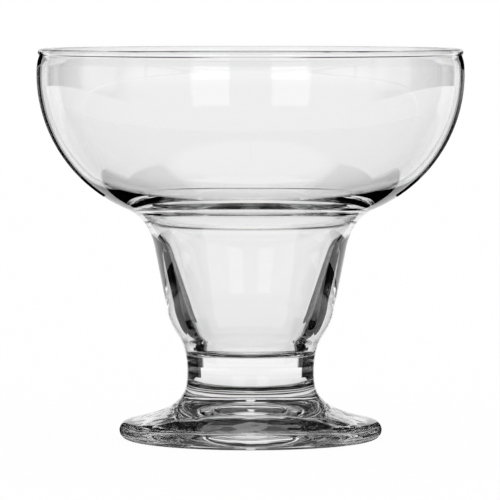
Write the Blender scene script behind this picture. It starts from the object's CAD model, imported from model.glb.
import math

import bpy
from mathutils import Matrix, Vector


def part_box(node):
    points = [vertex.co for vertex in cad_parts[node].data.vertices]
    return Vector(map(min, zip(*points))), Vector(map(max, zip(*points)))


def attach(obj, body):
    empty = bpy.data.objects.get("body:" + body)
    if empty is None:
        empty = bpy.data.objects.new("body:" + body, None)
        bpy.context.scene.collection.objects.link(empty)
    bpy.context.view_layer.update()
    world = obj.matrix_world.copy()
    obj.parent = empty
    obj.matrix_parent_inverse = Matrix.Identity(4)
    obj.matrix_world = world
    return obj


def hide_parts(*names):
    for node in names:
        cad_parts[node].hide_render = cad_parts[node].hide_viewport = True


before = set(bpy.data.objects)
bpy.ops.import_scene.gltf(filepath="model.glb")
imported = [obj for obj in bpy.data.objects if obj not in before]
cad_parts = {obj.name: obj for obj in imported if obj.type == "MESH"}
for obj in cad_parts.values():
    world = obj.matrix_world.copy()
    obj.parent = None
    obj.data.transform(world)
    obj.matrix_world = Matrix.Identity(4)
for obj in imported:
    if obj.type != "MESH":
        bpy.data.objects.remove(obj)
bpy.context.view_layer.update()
mm = 0.001
print("frame loaded:", ", ".join(sorted(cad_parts)))

footLow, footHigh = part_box("foot")
stemLow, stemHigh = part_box("stem")
bowlLow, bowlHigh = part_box("bowl")


def hexColour(text):
    # sRGB hex to the linear colour that a shader wants
    linear = []
    for start in (0, 2, 4):
        value = int(text.lstrip("#")[start:start + 2], 16) / 255
        linear.append(value / 12.92 if value <= 0.04045 else ((value + 0.055) / 1.055) ** 2.4)
    return (*linear, 1.0)


plainWhite = hexColour("#ffffff")


def addNode(tree, kind, inputs=None, **settings):
    # a node with its settings, and its inputs set or linked
    node = tree.nodes.new(kind)
    for key, value in settings.items():
        setattr(node, key, value)
    for socket, value in (inputs or {}).items():
        if isinstance(value, bpy.types.NodeSocket):
            tree.links.new(value, node.inputs[socket])
        else:
            node.inputs[socket].default_value = value
    return node


# Half sections. A profile is a list of Bezier stretches, each four points of (radius, height) in mm.

def reached(profile):
    # where the profile has got to; its lone first point is taken out, as the first stretch holds it
    return profile[-1][3] if len(profile[-1]) == 4 else profile.pop()[0]


def lineTo(profile, end):
    start = reached(profile)
    end = Vector(end)
    profile.append([start, start.lerp(end, 1 / 3), start.lerp(end, 2 / 3), end])


def curveTo(profile, handleOut, handleIn, end):
    profile.append([reached(profile), Vector(handleOut), Vector(handleIn), Vector(end)])


def arcTo(profile, centre, radius, startAngle, endAngle, parts):
    # degrees; each part is one Bezier stretch of a true arc
    step = math.radians(endAngle - startAngle) / parts
    reach = radius * 4 / 3 * math.tan(step / 4)
    for i in range(parts):
        a = math.radians(startAngle) + i * step
        b = a + step
        start = Vector(centre) + radius * Vector((math.cos(a), math.sin(a)))
        end = Vector(centre) + radius * Vector((math.cos(b), math.sin(b)))
        profile.append([start, start + reach * Vector((-math.sin(a), math.cos(a))),
                        end - reach * Vector((-math.sin(b), math.cos(b))), end])


def heading(degrees):
    return Vector((math.cos(math.radians(degrees)), math.sin(math.radians(degrees))))


# How finely a half section is turned. Angles are degrees, and the two gaps, for points that are one
# point and for rings that lie in a weld, are mm.
turning = {"steps": 240, "stretchCuts": 14, "sharpAngle": 40, "mergeGap": 0.001, "weldGap": 0.05}


def turnProfile(name, profile, height):
    # the half section is drawn as one Bezier curve, made a mesh and spun about the glass's axis
    bpy.ops.object.select_all(action="DESELECT")
    bpy.ops.curve.primitive_bezier_curve_add()
    outline = bpy.context.object
    outline.name = name
    outline.data.resolution_u = turning["stretchCuts"]
    knots = outline.data.splines[0].bezier_points
    knots.add(len(profile) - 1)
    corners = [stretch[0] for stretch in profile] + [profile[-1][3]]
    for i, knot in enumerate(knots):
        knot.handle_left_type = "FREE"
        knot.handle_right_type = "FREE"
        before = profile[i - 1][2] if i else corners[i]
        after = profile[i][1] if i < len(profile) else corners[i]
        for field, point in (("co", corners[i]), ("handle_left", before), ("handle_right", after)):
            setattr(knot, field, (point.x * mm, 0, point.y * mm + height))
    bpy.ops.object.convert(target="MESH")
    piece = bpy.context.object
    piece.data.name = name
    bpy.ops.object.mode_set(mode="EDIT")
    bpy.ops.mesh.select_all(action="SELECT")
    bpy.ops.mesh.spin(steps=turning["steps"], angle=math.tau, center=(0, 0, 0), axis=(0, 0, 1))
    bpy.ops.mesh.select_all(action="SELECT")
    bpy.ops.mesh.remove_doubles(threshold=turning["mergeGap"] * mm)
    bpy.ops.mesh.select_mode(type="EDGE")
    bpy.ops.mesh.select_all(action="DESELECT")
    bpy.ops.object.mode_set(mode="OBJECT")
    return piece


def fillWelds(piece, heights, weldMaterial):
    # each open ring is filled with one flat face, where the hot pieces were stuck together
    piece.data.materials.append(weldMaterial)
    bpy.context.view_layer.objects.active = piece
    for height in heights:
        bpy.ops.object.mode_set(mode="EDIT")
        bpy.ops.mesh.select_mode(type="EDGE")
        bpy.ops.mesh.select_all(action="SELECT")
        bpy.ops.mesh.region_to_loop()
        bpy.ops.object.mode_set(mode="OBJECT")
        for edge in piece.data.edges:
            middle = sum((piece.data.vertices[i].co.z for i in edge.vertices), 0.0) / 2
            edge.select = edge.select and abs(middle - height) < turning["weldGap"] * mm
        bpy.ops.object.mode_set(mode="EDIT")
        bpy.ops.mesh.edge_face_add()
        bpy.ops.mesh.select_mode(type="FACE")
        piece.active_material_index = 1
        bpy.ops.object.material_slot_assign()
        bpy.ops.object.mode_set(mode="OBJECT")
    bpy.ops.object.mode_set(mode="EDIT")
    bpy.ops.mesh.select_all(action="SELECT")
    bpy.ops.mesh.normals_make_consistent(inside=False)
    bpy.ops.object.mode_set(mode="OBJECT")
    bpy.ops.object.shade_smooth_by_angle(angle=math.radians(turning["sharpAngle"]))


def clearGlass(name, wave):
    # soda-lime glass, fire polished: colourless, with sharp reflections, and a shallow swell left by
    # the working of it, which bends the lines seen through it a little; wave sizes are mm
    material = bpy.data.materials.new(name)
    material.use_nodes = True
    tree = material.node_tree
    tree.nodes.clear()
    place = addNode(tree, "ShaderNodeTexCoord")
    swell = addNode(tree, "ShaderNodeTexNoise", {
        "Vector": place.outputs["Object"],
        "Scale": 1 / (wave["length"] * mm),
        "Detail": 1.0,
        "Roughness": 0.4,
    })
    wavy = addNode(tree, "ShaderNodeBump", {
        "Height": swell.outputs["Fac"],
        "Strength": 1.0,
        "Distance": wave["height"] * mm,
    })
    glass = addNode(tree, "ShaderNodeBsdfPrincipled", {
        "Base Color": plainWhite,
        "Roughness": 0.0,
        "IOR": 1.52,
        "Transmission Weight": 1.0,
        "Normal": wavy.outputs["Normal"],
    })
    addNode(tree, "ShaderNodeOutputMaterial", {"Surface": glass.outputs["BSDF"]})
    return material


def weldedFace():
    # where glass is fused to glass there is no surface left, so light runs straight on
    material = bpy.data.materials.new("fusedGlassWeld")
    material.use_nodes = True
    tree = material.node_tree
    tree.nodes.clear()
    clear = addNode(tree, "ShaderNodeBsdfTransparent", {"Color": plainWhite})
    addNode(tree, "ShaderNodeOutputMaterial", {"Surface": clear.outputs["BSDF"]})
    return material


# The blown bowl and the stem are nearly smooth. The pressed foot is wavier, which streaks its edge,
# and its swell is drawn deeper than a real one, so that it shows.
bowlGlass = clearGlass("blownSodaLimeGlass", {"length": 20.0, "height": 0.05})
footGlass = clearGlass("pressedSodaLimeGlass", {"length": 6.0, "height": 0.11})
weldMaterial = weldedFace()

# Stem
stem = {"waistDiameter": 35.0}
weldRadius = stemHigh.x / mm
stemHeight = (stemHigh.z - stemLow.z) / mm
# the stem's side leaves each weld this way, and the foot and the well carry it on
lean = Vector((2 * (weldRadius - stem["waistDiameter"] / 2), stemHeight / 2)).normalized()


def makeStem():
    # its side is a quadratic curve, given the handles of a cubic one
    middle = Vector((stem["waistDiameter"] - weldRadius, stemHeight / 2))
    low = Vector((weldRadius, 0))
    high = Vector((weldRadius, stemHeight))
    profile = [[low]]
    curveTo(profile, low.lerp(middle, 2 / 3), high.lerp(middle, 2 / 3), high)
    piece = turnProfile("glassStem", profile, stemLow.z)
    piece.data.materials.append(bowlGlass)
    fillWelds(piece, [stemLow.z, stemHigh.z], weldMaterial)
    return piece


# Foot
foot = {
    "edgeRadius": 2.45,
    "topSlope": 12.6,
    "topReach": 13.0,
    "flareReach": 4.8,
    "ringWidth": 2.0,
    "hollowDepth": 8.0,
    "hollowCrownReach": 15.0,
    "hollowSkirtReach": 14.0,
    "hollowSkirtSlope": 12.0,
}


def makeFoot():
    height = footHigh.z / mm
    edgeCentre = Vector((footHigh.x / mm - foot["edgeRadius"], foot["edgeRadius"]))
    ringInner = Vector((edgeCentre.x - foot["ringWidth"], 0))
    crown = Vector((0, foot["hollowDepth"]))
    edgeTop = edgeCentre + foot["edgeRadius"] * heading(90 - foot["topSlope"])
    weld = Vector((weldRadius, height))
    profile = [[crown]]
    curveTo(profile, crown + Vector((foot["hollowCrownReach"], 0)),
            ringInner + foot["hollowSkirtReach"] * heading(180 - foot["hollowSkirtSlope"]), ringInner)
    lineTo(profile, (edgeCentre.x, 0))
    arcTo(profile, edgeCentre, foot["edgeRadius"], -90, 90 - foot["topSlope"], parts=4)
    curveTo(profile, edgeTop + foot["topReach"] * heading(180 - foot["topSlope"]),
            weld + foot["flareReach"] * Vector((lean.x, -lean.y)), weld)
    piece = turnProfile("glassFoot", profile, 0)
    piece.data.materials.append(footGlass)
    fillWelds(piece, [footHigh.z], weldMaterial)
    return piece


# Bowl and well
bowl = {
    "wellBaseDiameter": 46.2,
    "wellBaseRise": 14.5,
    "wellBaseReach": 8.0,
    "wellHipReach": 8.0,
    "wellTopDiameter": 52.6,
    "wellTaperRise": 16.4,
    "curveRadius": 40.2,
    "shoulderDiameter": 68.4,
    "shoulderRise": 11.1,
    "shoulderWellReach": 4.9,
    "shoulderBowlReach": 5.0,
    "sideUprightReach": 4.0,
    "sideNeckReach": 1.0,
    "rimDiameter": 116.9,
    "lipRadius": 1.0,
    "lipOuterUndercut": 45.0,
    "lipInnerUndercut": 35.0,
    "wall": 1.8,
    "wallSweep": 45.0,
    "floorReach": 7.0,
    "floorSlope": 22.5,
    "floorRun": 7.0,
    "mouthDiameter": 58.0,
    "mouthRise": 0.7,
    "mouthWellReach": 4.5,
    "mouthBowlReach": 0.6,
    "wellTopWall": 2.9,
    "wellBaseWall": 4.9,
    "wellDrawReach": 5.5,
    "heelWallReach": 3.0,
    "heelWallLean": 12.0,
    "heelRadius": 3.0,
    "wellFloorDiameter": 20.0,
    "wellFloorThickness": 2.0,
}


def makeBowl():
    weld = Vector((weldRadius, 0))
    taperBase = Vector((bowl["wellBaseDiameter"] / 2, bowl["wellBaseRise"]))
    taperTop = Vector((bowl["wellTopDiameter"] / 2, bowl["wellBaseRise"] + bowl["wellTaperRise"]))
    taper = (taperTop - taperBase).normalized()
    bowlRadius = bowlHigh.x / mm
    shoulder = Vector((bowl["shoulderDiameter"] / 2, taperTop.y + bowl["shoulderRise"]))
    curveAxis = bowlRadius - bowl["curveRadius"]
    drop = math.sqrt(bowl["curveRadius"] ** 2 - (shoulder.x - curveAxis) ** 2)
    widest = shoulder.y + drop
    curveCentre = Vector((curveAxis, widest))
    shoulderAngle = math.degrees(math.atan2(-drop, shoulder.x - curveAxis))
    upTheBowl = heading(shoulderAngle + 90)
    rimTop = (bowlHigh.z - bowlLow.z) / mm
    lipCentre = Vector((bowl["rimDiameter"] / 2 - bowl["lipRadius"], rimTop - bowl["lipRadius"]))
    lipOuter = lipCentre + bowl["lipRadius"] * heading(-bowl["lipOuterUndercut"])
    lipInner = lipCentre + bowl["lipRadius"] * heading(180 + bowl["lipInnerUndercut"])
    innerRadius = bowlRadius - bowl["wall"]
    innerCurve = bowl["curveRadius"] - bowl["wall"]
    sweepEnd = curveCentre + innerCurve * heading(-bowl["wallSweep"])
    mouth = Vector((bowl["mouthDiameter"] / 2, shoulder.y + bowl["mouthRise"]))
    upTheFloor = heading(bowl["floorSlope"])
    innerTop = taperTop - Vector((bowl["wellTopWall"], 0))
    innerBase = taperBase - Vector((bowl["wellBaseWall"], 0))
    innerTaper = (innerTop - innerBase).normalized()
    heelCentre = Vector((bowl["wellFloorDiameter"] / 2, bowl["wellFloorThickness"] + bowl["heelRadius"]))
    heelTop = heelCentre + bowl["heelRadius"] * heading(-bowl["heelWallLean"])
    upTheHeel = heading(90 - bowl["heelWallLean"])

    profile = [[weld]]
    curveTo(profile, weld + bowl["wellBaseReach"] * lean,
            taperBase - bowl["wellHipReach"] * taper, taperBase)
    lineTo(profile, taperTop)
    curveTo(profile, taperTop + bowl["shoulderWellReach"] * taper,
            shoulder - bowl["shoulderBowlReach"] * upTheBowl, shoulder)
    arcTo(profile, curveCentre, bowl["curveRadius"], shoulderAngle, 0, parts=3)
    curveTo(profile, (bowlRadius, widest + bowl["sideUprightReach"]),
            lipOuter - Vector((0, bowl["sideNeckReach"])), lipOuter)
    arcTo(profile, lipCentre, bowl["lipRadius"],
          -bowl["lipOuterUndercut"], 180 + bowl["lipInnerUndercut"], parts=4)
    curveTo(profile, lipInner - Vector((0, bowl["sideNeckReach"])),
            (innerRadius, widest + bowl["sideUprightReach"]), (innerRadius, widest))
    arcTo(profile, curveCentre, innerCurve, 0, -bowl["wallSweep"], parts=2)
    curveTo(profile, sweepEnd + bowl["floorReach"] * heading(-90 - bowl["wallSweep"]),
            mouth + bowl["floorRun"] * upTheFloor, mouth)
    curveTo(profile, mouth - bowl["mouthBowlReach"] * upTheFloor,
            innerTop + bowl["mouthWellReach"] * innerTaper, innerTop)
    lineTo(profile, innerBase)
    curveTo(profile, innerBase - bowl["wellDrawReach"] * innerTaper,
            heelTop + bowl["heelWallReach"] * upTheHeel, heelTop)
    arcTo(profile, heelCentre, bowl["heelRadius"], -bowl["heelWallLean"], -90, parts=2)
    lineTo(profile, (0, bowl["wellFloorThickness"]))
    piece = turnProfile("glassBowl", profile, bowlLow.z)
    piece.data.materials.append(bowlGlass)
    fillWelds(piece, [bowlLow.z], weldMaterial)
    return piece


for made, node in ((makeFoot(), "foot"), (makeStem(), "stem"), (makeBowl(), "bowl")):
    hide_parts(node)
    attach(made, "root")
    print("made", made.name, len(made.data.polygons), "faces")

# Camera, in metres and degrees, with its lens and sensor in mm
view = {
    "distance": 1.25,
    "eyeHeight": 0.1245,
    "sideways": -0.00016,
    "tilt": 3.32,
    "lens": 327.2,
    "sensorWidth": 36,
    "clipEnd": 50,
}
bpy.ops.object.camera_add(location=(view["sideways"], -view["distance"], view["eyeHeight"]),
                          rotation=(math.radians(90 - view["tilt"]), 0, 0))
camera = bpy.context.object
camera.data.lens = view["lens"]
camera.data.sensor_width = view["sensorWidth"]
camera.data.clip_end = view["clipEnd"]
bpy.context.scene.camera = camera
print("camera set at", view["distance"], "m")


def glassRays(tree, path):
    # 1 for the rays that come through the glass or off it
    return addNode(tree, "ShaderNodeMath",
                   {0: path.outputs["Is Transmission Ray"], 1: path.outputs["Is Glossy Ray"]},
                   operation="MAXIMUM").outputs[0]


# Table, in metres, with its drop in mm, which keeps it clear of the foot's flat ring.
# The camera sees it white, as the cut-out photograph is, with a faint shadow under the foot.
table = {
    "radius": 1.0,
    "back": 0.8,
    "drop": 0.1,
    "sides": 128,
    "colour": "#f3f3f3",
    "whiteShare": 0.97,
    "glassShare": 0.6,
    "glassLevel": 0.9,
}
bpy.ops.object.select_all(action="DESELECT")
bpy.ops.mesh.primitive_circle_add(vertices=table["sides"], radius=table["radius"], fill_type="NGON",
                                  location=(0, table["back"], -table["drop"] * mm))
tableTop = bpy.context.object
tableTop.name = "tableTop"
laminate = bpy.data.materials.new("whiteLaminate")
laminate.use_nodes = True
tree = laminate.node_tree
tree.nodes.clear()
path = addNode(tree, "ShaderNodeLightPath")
inGlass = glassRays(tree, path)
matt = addNode(tree, "ShaderNodeBsdfDiffuse", {"Color": hexColour(table["colour"])})
level = addNode(tree, "ShaderNodeMix", {0: inGlass, 2: 1.0, 3: table["glassLevel"]}, data_type="FLOAT")
white = addNode(tree, "ShaderNodeEmission", {"Color": plainWhite, "Strength": level.outputs[0]})
glassPart = addNode(tree, "ShaderNodeMath", {0: inGlass, 1: table["glassShare"]}, operation="MULTIPLY")
share = addNode(tree, "ShaderNodeMath",
                {0: path.outputs["Is Camera Ray"], 1: table["whiteShare"], 2: glassPart.outputs[0]},
                operation="MULTIPLY_ADD")
mixed = addNode(tree, "ShaderNodeMixShader",
                {0: share.outputs[0], 1: matt.outputs[0], 2: white.outputs[0]})
addNode(tree, "ShaderNodeOutputMaterial", {"Surface": mixed.outputs[0]})
laminate.cycles.emission_sampling = "NONE"
tableTop.data.materials.append(laminate)
print("table laid")


def mattPaper(name, colour):
    # felt and card: dull, with no shine at all
    paper = bpy.data.materials.new(name)
    paper.use_nodes = True
    paper.node_tree.nodes.clear()
    dull = addNode(paper.node_tree, "ShaderNodeBsdfDiffuse", {"Color": hexColour(colour)})
    addNode(paper.node_tree, "ShaderNodeOutputMaterial", {"Surface": dull.outputs[0]})
    return paper


def glowingPad(name, level):
    # a lit acrylic pad: an even, dim white
    pad = bpy.data.materials.new(name)
    pad.use_nodes = True
    pad.node_tree.nodes.clear()
    glow = addNode(pad.node_tree, "ShaderNodeEmission", {"Color": plainWhite, "Strength": level})
    addNode(pad.node_tree, "ShaderNodeOutputMaterial", {"Surface": glow.outputs[0]})
    pad.cycles.emission_sampling = "NONE"
    return pad


def onlyInGlass(piece):
    # stands in the studio, and shows in the glass alone
    piece.visible_camera = False
    piece.visible_diffuse = False
    piece.visible_shadow = False


sheetSteps = 32  # facets along a bent sheet


def spunLine(name, near, far, angle, axis):
    # a straight line from near to far, in mm, swept about an axis through the origin
    bpy.ops.object.select_all(action="DESELECT")
    bpy.ops.mesh.primitive_plane_add(size=1)
    piece = bpy.context.object
    piece.name = name
    bpy.ops.object.mode_set(mode="EDIT")
    bpy.ops.mesh.delete(type="ONLY_FACE")
    bpy.ops.mesh.select_all(action="DESELECT")
    bpy.ops.object.mode_set(mode="OBJECT")
    for vertex in piece.data.vertices:
        vertex.select = vertex.co.x < 0
        vertex.co = Vector(far if vertex.co.y > 0 else near) * mm
    bpy.ops.object.mode_set(mode="EDIT")
    bpy.ops.mesh.delete(type="VERT")
    bpy.ops.mesh.select_all(action="SELECT")
    bpy.ops.mesh.spin(steps=sheetSteps, angle=math.radians(angle), center=(0, 0, 0), axis=axis)
    bpy.ops.object.mode_set(mode="OBJECT")
    return piece


def layRound(sheet, material):
    # one sheet on each side; spin turns clockwise, so the left one is started from its far end
    for side, start in zip((-1, 1), sheet["start"]):
        piece = spunLine(sheet["name"], (0, *sheet["near"]), (0, *sheet["far"]),
                         sheet["end"] - start, (0, 0, 1))
        piece.rotation_euler.z = math.radians(sheet["end"] if side < 0 else -start)
        piece.data.materials.append(material)
        onlyInGlass(piece)


# Black felt and card that draw the dark lines of the glass: felt under and beside the foot and a low
# strip of card bent round each side. A dim light pad lies under the front of the foot.
# Angles are degrees from straight behind the glass, starts are for the left and the right side,
# and near and far are (out, up) in mm.
feltTop = -0.05  # mm, between the table and the foot's flat ring
footFelt = {
    "name": "footFelt",
    "material": "woolFelt",
    "near": (0, feltTop),
    "far": (36, feltTop),
    "start": (0, 0),
    "end": 152,
    "colour": "#141414",
}
sideFelt = {
    "name": "sideFelt",
    "material": "woolFelt",
    "near": (37, feltTop),
    "far": (86, feltTop),
    "start": (40, 40),
    "end": 122,
    "colour": "#0c0c0c",
}
lowStrip = {
    "name": "lowStrip",
    "material": "blackCard",
    "near": (85, 0),
    "far": (85, 31),
    "start": (33.3, 31.2),
    "end": 80,
    "colour": "#0c0c0c",
}
lightPad = {
    "name": "lightPad",
    "material": "litAcrylic",
    "near": footFelt["near"],
    "far": footFelt["far"],
    "start": (footFelt["end"], footFelt["end"]),
    "end": 180,
    "level": 0.09,
}
for sheet in (footFelt, sideFelt, lowStrip):
    layRound(sheet, mattPaper(sheet["material"], sheet["colour"]))
layRound(lightPad, glowingPad(lightPad["material"], lightPad["level"]))

# A slim card follows each side of the bowl, just behind its outline, and draws it black. It bends round
# a centre (out, behind, up) in mm, from top degrees above level down through its sweep.
bowlCard = {
    "name": "bowlCard",
    "material": "blackCard",
    "centre": (18.6, 1.0, 101.5),
    "inner": 40.45,
    "outer": 45.0,
    "top": 8,
    "sweep": 66,
    "colour": "#060606",
}
cardMaterial = mattPaper(bowlCard["material"], bowlCard["colour"])
for side in (-1, 1):
    piece = spunLine(bowlCard["name"], (side * bowlCard["inner"], 0, 0), (side * bowlCard["outer"], 0, 0),
                     -side * bowlCard["sweep"], (0, 1, 0))
    out, behind, up = bowlCard["centre"]
    piece.location = (side * out * mm, behind * mm, up * mm)
    piece.rotation_euler.y = math.radians(-side * bowlCard["top"])
    piece.data.materials.append(cardMaterial)
    onlyInGlass(piece)
print("felt, strips and cards set")

# Studio light. The glass shows a white field behind it that fades upwards, a spire and a boom above
# the field, a dim light overhead, a field at its left, and a low light and two soft boxes in front.
# The camera and the table see plain white all round. Each panel is a box of directions in degrees:
# its middle (from straight behind to the right, above level), half its size, its soft edge, its level.
studio = {
    "room": 0.02,
    "panels": {
        "field": {"middle": (0, 0), "half": (37, 10), "edge": 2, "level": 0.93},
        "frontLow": {"middle": (180, -30), "half": (75, 36), "edge": 10, "level": 0.9},
        "fieldTop": {"middle": (0, 0), "half": (8, 18), "edge": 1.5, "level": 0.9},
        "fieldFade": {"middle": (0, 0), "half": (35, 18), "edge": 3, "level": 0.45},
        "spire": {"middle": (0, 32), "half": (2.5, 10), "edge": 0.7, "level": 0.9},
        "boom": {"middle": (0, 52), "half": (14, 6), "edge": 2, "level": 0.9},
        "overhead": {"middle": (0, 90), "half": (180, 28), "edge": 4, "level": 0.5},
        "sideField": {"middle": (-90, 0), "half": (14, 10), "edge": 4, "level": 0.9},
        "rightBox": {"middle": (158, -8), "half": (11, 15), "edge": 1.5, "level": 1.7},
        "leftBox": {"middle": (-158, -8), "half": (11, 15), "edge": 1.5, "level": 1.7},
    },
}
world = bpy.data.worlds.new("studio")
bpy.context.scene.world = world
world.use_nodes = True
tree = world.node_tree
tree.nodes.clear()
path = addNode(tree, "ShaderNodeLightPath")
place = addNode(tree, "ShaderNodeTexCoord")
parts = addNode(tree, "ShaderNodeSeparateXYZ", {0: place.outputs["Generated"]})
azimuth = addNode(tree, "ShaderNodeMath", {0: parts.outputs["X"], 1: parts.outputs["Y"]},
                  operation="ARCTAN2")
elevation = addNode(tree, "ShaderNodeMath", {0: parts.outputs["Z"]}, operation="ARCSINE")
light = studio["room"]
for panel in studio["panels"].values():
    edge = math.radians(panel["edge"])
    middleAcross, middleUp = (math.radians(angle) for angle in panel["middle"])
    halfWide, halfTall = (math.radians(angle) for angle in panel["half"])
    off = addNode(tree, "ShaderNodeMath", {0: azimuth.outputs[0], 1: middleAcross}, operation="SUBTRACT")
    off = addNode(tree, "ShaderNodeMath", {0: off.outputs[0], 1: math.pi, 2: -math.pi}, operation="WRAP")
    off = addNode(tree, "ShaderNodeMath", {0: off.outputs[0]}, operation="ABSOLUTE")
    across = addNode(tree, "ShaderNodeMapRange", {
        "Value": off.outputs[0],
        "From Min": halfWide + edge,
        "From Max": halfWide - edge,
        "To Min": 0.0,
        "To Max": panel["level"],
    }, interpolation_type="SMOOTHSTEP")
    off = addNode(tree, "ShaderNodeMath", {0: elevation.outputs[0], 1: middleUp}, operation="SUBTRACT")
    off = addNode(tree, "ShaderNodeMath", {0: off.outputs[0]}, operation="ABSOLUTE")
    upright = addNode(tree, "ShaderNodeMapRange", {
        "Value": off.outputs[0],
        "From Min": halfTall + edge,
        "From Max": halfTall - edge,
    }, interpolation_type="SMOOTHSTEP")
    lit = addNode(tree, "ShaderNodeMath", {0: across.outputs[0], 1: upright.outputs[0]},
                  operation="MULTIPLY")
    light = addNode(tree, "ShaderNodeMath", {0: light, 1: lit.outputs[0]}, operation="MAXIMUM").outputs[0]
strength = addNode(tree, "ShaderNodeMix", {0: glassRays(tree, path), 2: 1.0, 3: light}, data_type="FLOAT")
background = addNode(tree, "ShaderNodeBackground", {"Color": plainWhite, "Strength": strength.outputs[0]})
addNode(tree, "ShaderNodeOutputWorld", {"Surface": background.outputs[0]})
print("studio lit by", len(studio["panels"]), "panels")

# Light goes through many walls of glass, and the bright spots it would throw on the table are left out.
scene = bpy.context.scene
scene.view_settings.view_transform = "Standard"
scene.cycles.max_bounces = 32
scene.cycles.transmission_bounces = 32
scene.cycles.glossy_bounces = 16
scene.cycles.transparent_max_bounces = 32
scene.cycles.caustics_refractive = False
scene.cycles.caustics_reflective = False
